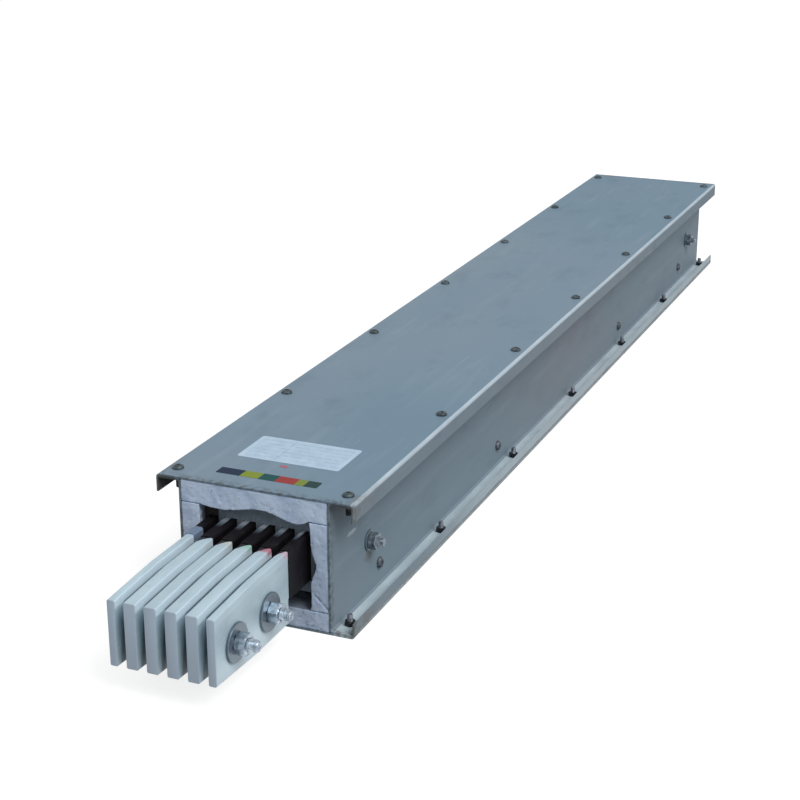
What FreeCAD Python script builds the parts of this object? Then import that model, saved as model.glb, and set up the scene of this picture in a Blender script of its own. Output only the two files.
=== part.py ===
import FreeCAD, Part
import math
import os

os.makedirs("parts", exist_ok=True)
Vec = FreeCAD.Vector

# Busway section. X is across it, Y runs along it from the end with the bared bars, Z is up.
# It is drawn with the housing starting at Y = 0, then saved with its origin under the middle of
# its whole length. It stands on its bottom cover at Z = 0. Lengths are in millimetres.

# Sheet steel housing
housing_length = 1500.0
sheet = 2.0
bend_radius = 3.5
cover_lip_height = 19.0
base_lip_height = 16.0
flange_width = 22.7
flange_clearance = 0.3

# Fireproof boards that line it
side_board = 20.0
bottom_board = 20.0
top_board = 23.5
mouth_depth = 20.0
top_mouth_edge = (0.0, -2.2, -0.7, 3.5, 2.2, -3.9, 0.0)
side_mouth_edge = (0.0, 0.8, 1.0, 6.4, 2.4, 0.9, 0.0)

# Bars and their black sleeves
bar_count = 6
inner_bar_thickness = 12.0
outer_bar_thickness = 8.0
bar_gap = 9.0
bar_height = 75.0
bar_core_height = 50.0
bar_core_gap = 1.0
bar_side_room = 5.0
bar_floor_room = 2.5
bar_ceiling_room = 16.0
bar_projection = 179.0
bar_end_recess = 10.0
bar_nose_step = 4.5
bar_nose_length = 75.0
bar_edge_bevel = 1.0
sleeve_wall = 1.0
bare_length = 144.0
bare_far_length = 1.0

# Slotted plates that hold the bars
support_thickness = 25.0
support_inset = 12.0
support_floor_room = 14.0
slot_clearance = 0.2

# Two bolts through the bared bars
joint_bolt_diameter = 12.0
joint_bolt_drop = 5.5
joint_bolt_inset = 37.0
joint_bolt_spacing = 65.0
joint_head_width = 19.0
joint_head_height = 7.5
joint_nut_height = 10.8
joint_thread_end = 10.0
joint_thread_diameter = 10.9
joint_washer_diameter = 38.0
joint_washer_thickness = 3.0
joint_washer_clearance = 0.5
bolt_tube_wall = 2.5
bolt_tube_clearance = 0.3
spacer_diameter = 34.0

# Screws along the flanges, with nuts
cover_screw_count = 7
cover_screw_diameter = 6.0
cover_screw_near = 20.0
cover_screw_far = 28.0
cover_screw_length = 20.0
cover_head_diameter = 12.0
cover_head_height = 3.6
cover_hole_clearance = 0.3
cover_nut_width = 10.0
cover_nut_height = 5.0
stud_length = 14.0

# Screws low on the side plates
web_screw_diameter = 6.0
web_screw_length = 14.0
web_head_diameter = 12.0
web_head_height = 4.0
web_screw_rise = 5.5
web_screw_near = 117.0
web_screw_far = 139.0
web_screw_spacing = 528.0

# One bolt near each end of each side plate
end_bolt_diameter = 10.0
end_bolt_rise = 41.0
end_bolt_inset = 92.0
end_bolt_clearance = 0.4
end_head_diameter = 19.0
end_head_height = 4.0
end_pocket_clearance = 0.8
end_pocket_depth = 5.0
end_washer_diameter = 22.0
end_washer_thickness = 2.0
end_nut_width = 16.0
end_nut_height = 8.4
end_thread_end = 7.0

# How many flats the small round pieces have
shank_flat_count = 8
head_flat_count = 12
washer_flat_count = 16

# Faces and lines that several pieces share, from the bars outwards
bar_sizes = [inner_bar_thickness] * bar_count
bar_sizes[0] = outer_bar_thickness
bar_sizes[-1] = outer_bar_thickness
stack_half = (sum(bar_sizes) + bar_gap * (bar_count - 1)) / 2
bar_starts = [sum(bar_sizes[:i]) + bar_gap * i - stack_half for i in range(bar_count)]
opening_half = stack_half + bar_side_room
web_inner = opening_half + side_board
web_outer = web_inner + sheet
flange_edge = web_outer + flange_width
half_cover = flange_edge + flange_clearance + sheet
cavity_bottom = sheet
opening_bottom = cavity_bottom + bottom_board
bar_low = opening_bottom + bar_floor_room
bar_high = bar_low + bar_height
core_low = bar_high - bar_core_height
opening_top = bar_high + bar_ceiling_room
cavity_top = opening_top + top_board
housing_height = cavity_top + sheet
bar_far_end = housing_length - bar_end_recess
bare_end = bare_length - bar_projection
deep_end = bare_end - bar_core_gap
sleeve_far_end = bar_far_end - bare_far_length
joint_bolt_first = joint_bolt_inset - bar_projection
joint_bolt_stations = [joint_bolt_first, joint_bolt_first + joint_bolt_spacing]
joint_bolt_height = (bar_low + bar_high) / 2 - joint_bolt_drop
cover_screw_x = (web_outer + flange_edge) / 2
cover_screw_pitch = (housing_length - cover_screw_near - cover_screw_far) / (cover_screw_count - 1)
cover_screw_stations = [cover_screw_near + i * cover_screw_pitch for i in range(cover_screw_count)]
web_screw_height = opening_bottom + web_screw_rise
web_screw_last = housing_length - web_screw_far
web_screw_middle = (web_screw_near + web_screw_last) / 2
web_screw_stations = [
    web_screw_near,
    web_screw_middle - web_screw_spacing / 2,
    web_screw_middle + web_screw_spacing / 2,
    web_screw_last,
]
end_bolt_height = opening_bottom + end_bolt_rise
end_bolt_stations = [end_bolt_inset, housing_length - end_bolt_inset]
middle_station = (housing_length - bar_projection) / 2
sides = (-1, 1)
X_AXIS = Vec(1, 0, 0)
Z_AXIS = Vec(0, 0, 1)


def rounded_wire(corners):
    # Closed outline in the XZ plane from (x, z, corner radius) triples.
    count = len(corners)
    starts = []
    ends = []
    arcs = []
    for i in range(count):
        x, z, radius = corners[i]
        here = Vec(x, 0, z)
        before = Vec(corners[i - 1][0], 0, corners[i - 1][1])
        after = Vec(corners[(i + 1) % count][0], 0, corners[(i + 1) % count][1])
        to_before = (before - here).normalize()
        to_after = (after - here).normalize()
        half_angle = to_before.getAngle(to_after) / 2
        if radius <= 0:
            starts.append(here)
            ends.append(here)
            arcs.append(None)
            continue
        setback = radius / math.tan(half_angle)
        to_centre = (to_before + to_after).normalize()
        centre = here + to_centre * (radius / math.sin(half_angle))
        starts.append(here + to_before * setback)
        ends.append(here + to_after * setback)
        arcs.append(centre - to_centre * radius)
    edges = []
    for i in range(count):
        if arcs[i] is not None:
            edges.append(Part.Arc(starts[i], arcs[i], ends[i]).toShape())
        following = starts[(i + 1) % count]
        if (following - ends[i]).Length > 1e-6:
            edges.append(Part.makeLine(ends[i], following))
    return Part.Wire(edges)


def prism(corners, start, length):
    face = Part.Face(rounded_wire(corners))
    face.translate(Vec(0, start, 0))
    return face.extrude(Vec(0, length, 0))


def block(x_range, y_range, z_range):
    size = [high - low for low, high in (x_range, y_range, z_range)]
    return Part.makeBox(*size, Vec(x_range[0], y_range[0], z_range[0]))


def polygon_wire(sides, across, height):
    # Regular outline at a height, with flats that face along X, measured across them.
    reach = across / 2 / math.cos(math.pi / sides)
    corners = []
    for i in range(sides + 1):
        angle = math.pi * (2 * i + 1) / sides
        corners.append(Vec(reach * math.cos(angle), reach * math.sin(angle), height))
    return Part.makePolygon(corners)


def placed(shape, base, axis):
    shape.Placement = FreeCAD.Placement(base, FreeCAD.Rotation(Vec(0, 0, 1), axis))
    return shape


def flat_sided(sides, across, height, base, axis, bore=0.0):
    # Straight piece with a few flat sides, and a bore where it has one.
    shape = Part.Face(polygon_wire(sides, across, 0)).extrude(Vec(0, 0, height))
    return placed(bored(shape, bore, height), base, axis)


def bored(shape, bore, height):
    # A bore has as many flats as the small shanks that pass through it.
    if bore > 0:
        drill = Part.Face(polygon_wire(shank_flat_count, bore, 0))
        shape = shape.cut(drill.extrude(Vec(0, 0, height)))
    return shape


def disc(diameter, height, base, axis, bore=0.0):
    # Round piece that shows, and a bore where it has one.
    return placed(bored(Part.makeCylinder(diameter / 2, height), bore, height), base, axis)


def hexagon(width, height, base, axis, bore=0.0):
    # Large hexagonal nut or head with its outer corners turned off.
    shape = Part.Face(polygon_wire(6, width, 0)).extrude(Vec(0, 0, height))
    crown = Part.makeCone(width / 2 + height, width / 2, height, Vec(0, 0, 0), Vec(0, 0, 1))
    return placed(bored(shape.common(crown), bore, height), base, axis)


def pan_head(width, height, base, axis):
    # Low domed screw head.
    rings = [(width, 0), (width, height * 0.45), (width * 0.62, height)]
    wires = [polygon_wire(head_flat_count, across, level) for across, level in rings]
    return placed(Part.makeLoft(wires, True, True), base, axis)


def save(name, solids):
    if len(solids) == 1:
        shape = solids[0].copy()
    else:
        shape = Part.makeCompound(solids)
    shape.translate(Vec(0, -middle_station, 0))
    shape.exportStep("parts/" + name + ".step")
    print(name, len(shape.Solids), round(shape.Volume))


inner_radius = bend_radius - sheet


def channel_outline(lip_height):
    # Folded channel as wide as the covers, with its lips down.
    lip_end = housing_height - lip_height
    return [
        (-half_cover, lip_end, 0),
        (-half_cover, housing_height, bend_radius),
        (half_cover, housing_height, bend_radius),
        (half_cover, lip_end, 0),
        (half_cover - sheet, lip_end, 0),
        (half_cover - sheet, cavity_top, inner_radius),
        (-half_cover + sheet, cavity_top, inner_radius),
        (-half_cover + sheet, lip_end, 0),
    ]


# Top cover, pierced for the cover screws.
top_cover = prism(channel_outline(cover_lip_height), 0, housing_length)

# Bottom cover: a lower channel turned over. Its studs are welded on, so it has no holes.
bottom_outline = []
for x, z, radius in channel_outline(base_lip_height):
    bottom_outline.append((x, housing_height - z, radius))
bottom_cover = prism(bottom_outline, 0, housing_length)

# Small holes have the same flats as the shanks that pass through them.
cover_hole = cover_screw_diameter + 2 * cover_hole_clearance
cover_rise = housing_height - cavity_bottom
cover_holes = []
for side in sides:
    for station in cover_screw_stations:
        spot = Vec(side * cover_screw_x, station, cavity_bottom)
        cover_holes.append(flat_sided(shank_flat_count, cover_hole, cover_rise, spot, Z_AXIS))
top_cover = top_cover.cut(Part.makeCompound(cover_holes))
save("top_cover", [top_cover])
save("bottom_cover", [bottom_cover])

# Side plates: webs with a flange turned outward under each cover.
side_outline = [
    (web_inner, cavity_bottom, bend_radius),
    (flange_edge, cavity_bottom, 0),
    (flange_edge, cavity_bottom + sheet, 0),
    (web_outer, cavity_bottom + sheet, inner_radius),
    (web_outer, cavity_top - sheet, inner_radius),
    (flange_edge, cavity_top - sheet, 0),
    (flange_edge, cavity_top, 0),
    (web_inner, cavity_top, bend_radius),
]
end_bore = end_bolt_diameter + 2 * end_bolt_clearance
web_holes = []
for side in sides:
    out = X_AXIS * side
    for station in web_screw_stations:
        spot = Vec(0, station, web_screw_height)
        web_holes.append(flat_sided(shank_flat_count, web_screw_diameter, web_outer, spot, out))
    for station in end_bolt_stations:
        spot = Vec(0, station, end_bolt_height)
        web_holes.append(flat_sided(shank_flat_count, end_bore, web_outer, spot, out))
side_plate = prism(side_outline, 0, housing_length)
for side, name in zip(sides, ("side_plate_left", "side_plate_right")):
    plate = side_plate
    if side < 0:
        plate = side_plate.mirror(Vec(0, 0, 0), X_AXIS)
    plate = plate.cut(Part.makeCompound(cover_holes + web_holes))
    save(name, [plate])


def ragged_edge(start, end, rises, outward):
    # Hand-cut edge as one smooth curve from start to end, with its rises evenly spaced.
    points = []
    for i in range(len(rises)):
        share = i / (len(rises) - 1)
        points.append(start + (end - start) * share + outward * rises[i])
    curve = Part.BSplineCurve()
    curve.interpolate(points)
    return curve.toShape()


# Top board, with a hand-cut lower edge where it meets the mouth of the housing.
top_run = block((-web_inner, web_inner), (mouth_depth, housing_length), (opening_top, cavity_top))
mouth_left = Vec(-opening_half, 0, opening_top)
mouth_right = Vec(opening_half, 0, opening_top)
top_corners = [
    mouth_right,
    Vec(web_inner, 0, opening_top),
    Vec(web_inner, 0, cavity_top),
    Vec(-web_inner, 0, cavity_top),
    Vec(-web_inner, 0, opening_top),
    mouth_left,
]
top_edges = [Part.makeLine(a, b) for a, b in zip(top_corners, top_corners[1:])]
top_edges.append(ragged_edge(mouth_left, mouth_right, top_mouth_edge, Z_AXIS))
top_mouth = Part.Face(Part.Wire(top_edges)).extrude(Vec(0, mouth_depth, 0))
save("lining_top", [top_run.fuse(top_mouth).removeSplitter()])

# Bottom board, flat from side to side.
lining_bottom = block(
    (-web_inner, web_inner), (0, housing_length), (cavity_bottom, opening_bottom)
)
save("lining_bottom", [lining_bottom])

# Side boards between them. The right one is chipped at the mouth.
pilot_holes = []
end_pocket = end_head_diameter + 2 * end_pocket_clearance
for side in sides:
    out = X_AXIS * side
    for station in web_screw_stations:
        spot = Vec(side * web_outer, station, web_screw_height)
        pilot_size = (shank_flat_count, web_screw_diameter, web_screw_length)
        pilot_holes.append(flat_sided(*pilot_size, spot, out * -1))
    for station in end_bolt_stations:
        spot = Vec(side * opening_half, station, end_bolt_height)
        pilot_holes.append(flat_sided(shank_flat_count, end_bore, side_board, spot, out))
        pilot_holes.append(flat_sided(head_flat_count, end_pocket, end_pocket_depth, spot, out))
pilot_holes = Part.makeCompound(pilot_holes)
lining_left = block(
    (-web_inner, -opening_half), (0, housing_length), (opening_bottom, opening_top)
)
save("lining_left", [lining_left.cut(pilot_holes)])
right_run = block(
    (opening_half, web_inner), (mouth_depth, housing_length), (opening_bottom, opening_top)
)
right_corners = [
    Vec(opening_half, 0, opening_top),
    Vec(web_inner, 0, opening_top),
    Vec(web_inner, 0, opening_bottom),
    Vec(opening_half, 0, opening_bottom),
]
right_edges = [Part.makeLine(a, b) for a, b in zip(right_corners, right_corners[1:])]
right_edges.append(ragged_edge(right_corners[3], right_corners[0], side_mouth_edge, X_AXIS))
right_mouth = Part.Face(Part.Wire(right_edges)).extrude(Vec(0, mouth_depth, 0))
lining_right = right_run.fuse(right_mouth).removeSplitter()
save("lining_right", [lining_right.cut(pilot_holes)])

# Slotted support plates near the ends, wedged between the side boards, with a gap under them.
slot_margin = sleeve_wall + slot_clearance
slot_range = (core_low - slot_margin, bar_high + slot_margin)
plate_range = (opening_bottom + support_floor_room, opening_top)
support_starts = [support_inset, housing_length - support_inset - support_thickness]
for start, name in zip(support_starts, ("bar_support_near", "bar_support_far")):
    depth_range = (start, start + support_thickness)
    plate = block((-opening_half, opening_half), depth_range, plate_range)
    slots = []
    for x, thickness in zip(bar_starts, bar_sizes):
        x_range = (x - slot_margin, x + thickness + slot_margin)
        slots.append(block(x_range, depth_range, slot_range))
    save(name, [plate.cut(Part.makeCompound(slots))])

# Flat bars on edge. The bared end is deeper than the rest, is narrowed to a nose, and is
# pierced for the two bolts.
tube_outer = joint_bolt_diameter + 2 * bolt_tube_wall
bar_bore = tube_outer + 2 * bolt_tube_clearance
nose_low = bar_low + bar_nose_step
nose_high = bar_high - bar_nose_step
nose_start = bar_nose_length - bar_projection
bar_outline = [
    (-bar_projection, nose_low),
    (nose_start, bar_low),
    (deep_end, bar_low),
    (deep_end, core_low),
    (bar_far_end, core_low),
    (bar_far_end, bar_high),
    (nose_start, bar_high),
    (-bar_projection, nose_high),
]


def flat_bar(x, thickness):
    corners = [Vec(x, y, z) for y, z in bar_outline]
    shape = Part.Face(Part.makePolygon(corners + corners[:1])).extrude(Vec(thickness, 0, 0))
    long_edges = []
    for edge in shape.Edges:
        along = edge.BoundBox
        if along.XLength < 1e-6 and along.YLength > 1e-6:
            long_edges.append(edge)
    shape = shape.makeChamfer(bar_edge_bevel, long_edges)
    for station in joint_bolt_stations:
        spot = Vec(x, station, joint_bolt_height)
        shape = shape.cut(flat_sided(shank_flat_count, bar_bore, thickness, spot, X_AXIS))
    return shape


def bevelled_outline(x, thickness, margin):
    # Cross-section of a bar inside the housing, with its bevelled edges, grown by a margin.
    bevel = bar_edge_bevel + margin * (2 - math.sqrt(2))
    left = x - margin
    right = x + thickness + margin
    low = core_low - margin
    high = bar_high + margin
    return [
        (left, low + bevel, 0),
        (left, high - bevel, 0),
        (left + bevel, high, 0),
        (right - bevel, high, 0),
        (right, high - bevel, 0),
        (right, low + bevel, 0),
        (right - bevel, low, 0),
        (left + bevel, low, 0),
    ]


# Black sleeves close round the bars from the bared length on.
sleeve_length = sleeve_far_end - bare_end
for i in range(bar_count):
    x = bar_starts[i]
    thickness = bar_sizes[i]
    save("busbar_" + str(i + 1), [flat_bar(x, thickness)])
    sleeve = prism(bevelled_outline(x, thickness, sleeve_wall), bare_end, sleeve_length)
    core = prism(bevelled_outline(x, thickness, 0), bare_end, sleeve_length)
    save("bar_sleeve_" + str(i + 1), [sleeve.cut(core)])

# Joint bolts through all six bars: bolt, insulating tube, spacers, washers and nut.
washer_bore = joint_bolt_diameter + 2 * joint_washer_clearance
bolts = []
tubes = []
spacers = []
washers = []
nuts = []
for station in joint_bolt_stations:
    centre = Vec(0, station, joint_bolt_height)
    for side in sides:
        seat = centre + X_AXIS * (side * stack_half)
        washers.append(
            disc(joint_washer_diameter, joint_washer_thickness, seat, X_AXIS * side, washer_bore)
        )
    tube_seat = centre - X_AXIS * stack_half
    tube_size = (washer_flat_count, tube_outer, 2 * stack_half)
    tubes.append(flat_sided(*tube_size, tube_seat, X_AXIS, joint_bolt_diameter))
    for x, thickness in zip(bar_starts[:-1], bar_sizes):
        seat = centre + X_AXIS * (x + thickness)
        spacer_size = (head_flat_count, spacer_diameter, bar_gap)
        spacers.append(flat_sided(*spacer_size, seat, X_AXIS, bar_bore))
    clamp_half = stack_half + joint_washer_thickness
    head_seat = centre - X_AXIS * clamp_half
    shank = disc(joint_bolt_diameter, 2 * clamp_half + joint_nut_height, head_seat, X_AXIS)
    head = hexagon(joint_head_width, joint_head_height, head_seat, X_AXIS * -1)
    nut_seat = centre + X_AXIS * clamp_half
    thread_seat = nut_seat + X_AXIS * joint_nut_height
    thread = disc(joint_thread_diameter, joint_thread_end, thread_seat, X_AXIS)
    bolts.append(shank.fuse(head).fuse(thread))
    nuts.append(
        hexagon(joint_head_width, joint_nut_height, nut_seat, X_AXIS, joint_bolt_diameter)
    )
save("joint_bolts", bolts)
save("joint_bolt_tubes", tubes)
save("joint_spacers", spacers)
save("joint_washers", washers)
save("joint_nuts", nuts)

# Cover screws with nuts under the upper flanges, and welded studs with nuts on the lower ones.
cover_screws = []
cover_nuts = []
base_studs = []
base_nuts = []
for side in sides:
    for station in cover_screw_stations:
        spot = Vec(side * cover_screw_x, station, 0)
        head_seat = spot + Z_AXIS * housing_height
        head = pan_head(cover_head_diameter, cover_head_height, head_seat, Z_AXIS)
        shank_size = (shank_flat_count, cover_screw_diameter, cover_screw_length)
        shank = flat_sided(*shank_size, head_seat, Z_AXIS * -1)
        cover_screws.append(head.fuse(shank))
        nut_seat = spot + Z_AXIS * (cavity_top - sheet)
        nut_size = (6, cover_nut_width, cover_nut_height)
        cover_nuts.append(flat_sided(*nut_size, nut_seat, Z_AXIS * -1, cover_screw_diameter))
        stud_seat = spot + Z_AXIS * cavity_bottom
        stud_size = (shank_flat_count, cover_screw_diameter, stud_length)
        base_studs.append(flat_sided(*stud_size, stud_seat, Z_AXIS))
        nut_seat = stud_seat + Z_AXIS * sheet
        base_nuts.append(flat_sided(*nut_size, nut_seat, Z_AXIS, cover_screw_diameter))
save("cover_screws", cover_screws)
save("cover_nuts", cover_nuts)
save("base_studs", base_studs)
save("base_nuts", base_nuts)

# Screws that hold the side boards.
web_screws = []
for side in sides:
    for station in web_screw_stations:
        seat = Vec(side * web_outer, station, web_screw_height)
        head = pan_head(web_head_diameter, web_head_height, seat, X_AXIS * side)
        shank_size = (shank_flat_count, web_screw_diameter, web_screw_length)
        shank = flat_sided(*shank_size, seat, X_AXIS * -side)
        web_screws.append(head.fuse(shank))
save("web_screws", web_screws)

# End bolts, headed inside the boards, with washer and nut on the outside of the webs.
end_bolts = []
end_washers = []
end_nuts = []
grip = web_outer - opening_half - end_pocket_depth
end_length = grip + end_washer_thickness + end_nut_height + end_thread_end
for side in sides:
    for station in end_bolt_stations:
        out = X_AXIS * side
        centre = Vec(0, station, end_bolt_height)
        head_seat = centre + out * (opening_half + end_pocket_depth)
        head = flat_sided(head_flat_count, end_head_diameter, end_head_height, head_seat, out * -1)
        shank = flat_sided(shank_flat_count, end_bolt_diameter, end_length, head_seat, out)
        end_bolts.append(head.fuse(shank))
        washer_seat = centre + out * web_outer
        washer_size = (washer_flat_count, end_washer_diameter, end_washer_thickness)
        end_washers.append(flat_sided(*washer_size, washer_seat, out, end_bore))
        nut_seat = washer_seat + out * end_washer_thickness
        end_nuts.append(
            flat_sided(6, end_nut_width, end_nut_height, nut_seat, out, end_bolt_diameter)
        )
save("end_bolts", end_bolts)
save("end_washers", end_washers)
save("end_nuts", end_nuts)
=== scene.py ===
import bpy
import bmesh
import math
from mathutils import Matrix, Vector, noise


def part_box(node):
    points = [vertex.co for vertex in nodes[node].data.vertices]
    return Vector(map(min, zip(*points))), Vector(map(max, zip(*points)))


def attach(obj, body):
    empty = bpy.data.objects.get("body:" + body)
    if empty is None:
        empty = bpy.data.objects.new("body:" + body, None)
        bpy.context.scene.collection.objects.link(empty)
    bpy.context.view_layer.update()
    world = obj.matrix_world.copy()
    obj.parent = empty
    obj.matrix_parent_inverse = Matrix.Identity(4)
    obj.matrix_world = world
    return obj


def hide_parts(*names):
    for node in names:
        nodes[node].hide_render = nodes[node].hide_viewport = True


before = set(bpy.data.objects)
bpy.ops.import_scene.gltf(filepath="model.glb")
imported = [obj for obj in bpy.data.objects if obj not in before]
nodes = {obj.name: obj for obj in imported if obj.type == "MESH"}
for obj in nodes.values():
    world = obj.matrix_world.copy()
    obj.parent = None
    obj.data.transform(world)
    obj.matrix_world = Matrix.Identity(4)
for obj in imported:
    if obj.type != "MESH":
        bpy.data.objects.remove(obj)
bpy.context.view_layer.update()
print("frame loaded:", len(nodes), "nodes")

# The housing: its two ends along Y, the covers' top and outer side, and the webs' outer side.
coverLow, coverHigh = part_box("top_cover")
nearEnd, farEnd = coverLow.y, coverHigh.y
coverTop, coverSide = coverHigh.z, coverHigh.x
webSide = 0.0815
mm = 0.001


def tone(red, green, blue):
    # A colour as a screen shows it, 0 to 255, turned into the linear values that shaders take.
    linear = []
    for part in (red, green, blue):
        part = part / 255
        linear.append(part / 12.92 if part <= 0.04045 else ((part + 0.055) / 1.055) ** 2.4)
    return (*linear, 1.0)


# Shader building

def mathsNode(operation, reflected=False):
    def made(self, other=0.0):
        first, second = (other, self) if reflected else (self, other)
        return self.maker.node("ShaderNodeMath", {"operation": operation}, {0: first, 1: second})
    return made


class Wire:
    # One output of a shader's node; sums and products of wires add the Math nodes.
    def __init__(self, maker, socket):
        self.maker = maker
        self.socket = socket

    __add__ = mathsNode("ADD")
    __radd__ = mathsNode("ADD", True)
    __sub__ = mathsNode("SUBTRACT")
    __rsub__ = mathsNode("SUBTRACT", True)
    __mul__ = mathsNode("MULTIPLY")
    __rmul__ = mathsNode("MULTIPLY", True)
    __truediv__ = mathsNode("DIVIDE")
    __rtruediv__ = mathsNode("DIVIDE", True)
    __pow__ = mathsNode("POWER")
    __abs__ = mathsNode("ABSOLUTE")
    smaller = mathsNode("MINIMUM")
    larger = mathsNode("MAXIMUM")
    fraction = mathsNode("FRACT")

    def rise(self, low, high):
        # 0 below low, 1 above high, smooth between; falls instead where low is above high.
        links = {"Value": self, "From Min": min(low, high), "From Max": max(low, high)}
        if low > high:
            links.update({"To Min": 1.0, "To Max": 0.0})
        return self.maker.node("ShaderNodeMapRange", {"interpolation_type": "SMOOTHSTEP"}, links)


class Maker:
    # Makes and links the nodes of one shader tree.
    def __init__(self, tree):
        self.tree = tree

    def node(self, kind, settings=None, links=None, output=0):
        made = self.tree.nodes.new(kind)
        for key, value in (settings or {}).items():
            if key == "stops":
                self.setStops(made.color_ramp, value)
            else:
                setattr(made, key, value)
        for key, value in (links or {}).items():
            self.feed(made.inputs[key], value)
        return Wire(self, made.outputs[output])

    def setStops(self, ramp, stops):
        # Flat fields of colour, each from its stop to the next.
        ramp.interpolation = "CONSTANT"
        while len(ramp.elements) < len(stops):
            ramp.elements.new(1.0)
        for element, (position, colour) in zip(ramp.elements, stops):
            element.position = position
            element.color = colour

    def feed(self, socket, value):
        if isinstance(value, Wire):
            self.tree.links.new(value.socket, socket)
        else:
            socket.default_value = value


class Finish(Maker):
    # A material with its Principled shader, whose colour is laid on in layers over its base.
    def __init__(self, name, colours, base, specular):
        self.material = bpy.data.materials.new(name)
        self.material.use_nodes = True
        super().__init__(self.material.node_tree)
        self.shader = self.tree.nodes["Principled BSDF"]
        self.shader.inputs["Specular IOR Level"].default_value = specular
        self.place = self.node("ShaderNodeTexCoord", output="Object")
        self.colours = colours
        self.colour = self.named(base)

    def named(self, colour):
        return self.colours[colour] if isinstance(colour, str) else colour

    def coordinates(self):
        split = self.node("ShaderNodeSeparateXYZ", None, {0: self.place}).socket.node
        return [Wire(self, socket) for socket in split.outputs]

    def grain(self, size, detail=2.0, stretch=(1, 1, 1), shift=(0, 0, 0), rough=0.5):
        # Noise whose spots are about size metres across, 0 to 1 with its middle at 0.5.
        moved = self.node("ShaderNodeVectorMath", {"operation": "ADD"}, {0: self.place, 1: shift})
        drawn = self.node("ShaderNodeVectorMath", {"operation": "MULTIPLY"}, {0: moved, 1: stretch})
        links = {"Vector": drawn, "Scale": 1 / size, "Detail": detail, "Roughness": rough}
        return self.node("ShaderNodeTexNoise", None, links)

    def mixed(self, share, first, second):
        links = {0: share, 6: self.named(first), 7: self.named(second)}
        return self.node("ShaderNodeMix", {"data_type": "RGBA"}, links, 2)

    def lay(self, share, colour):
        self.colour = self.mixed(share, self.colour, colour)

    def bump(self, height, distance, strength=1.0, under=None):
        links = {"Height": height, "Distance": distance, "Strength": strength}
        if under is not None:
            links["Normal"] = under
        return self.node("ShaderNodeBump", None, links)

    def done(self, roughness, normal, metallic=0.0):
        values = {"Base Color": self.colour, "Roughness": roughness, "Metallic": metallic,
                  "Normal": normal}
        for key, value in values.items():
            self.feed(self.shader.inputs[key], value)
        return self.material


# Finishes

housingPaint = {
    "coverColours": (tone(127, 145, 160), tone(114, 139, 157)),
    "plateColours": (tone(124, 133, 144), tone(119, 138, 151)),
    "scuffColour": tone(202, 216, 226),
    "underColour": tone(60, 56, 54),
    "lipColour": tone(126, 128, 130),
    "grimeColour": tone(76, 76, 74),
    "dustColour": tone(204, 219, 226),
    "bronzeColour": tone(112, 106, 94),
    "roughness": 0.5,
    "peelSize": 0.0022, "peelDepth": 0.00006,
    "dentSize": 0.16, "dentDepth": 0.0012,
}
# A rubbed place and a stain on the right web: where they lie, how far they reach, how strong.
webScuffs = [
    {"along": 0.052, "height": 0.0885, "reach": (0.015, 0.0030), "share": 0.5, "colour": "scuffColour"},
    {"along": 0.090, "height": 0.0455, "reach": (0.014, 0.0075), "share": 0.4, "colour": "bronzeColour"},
]


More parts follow.
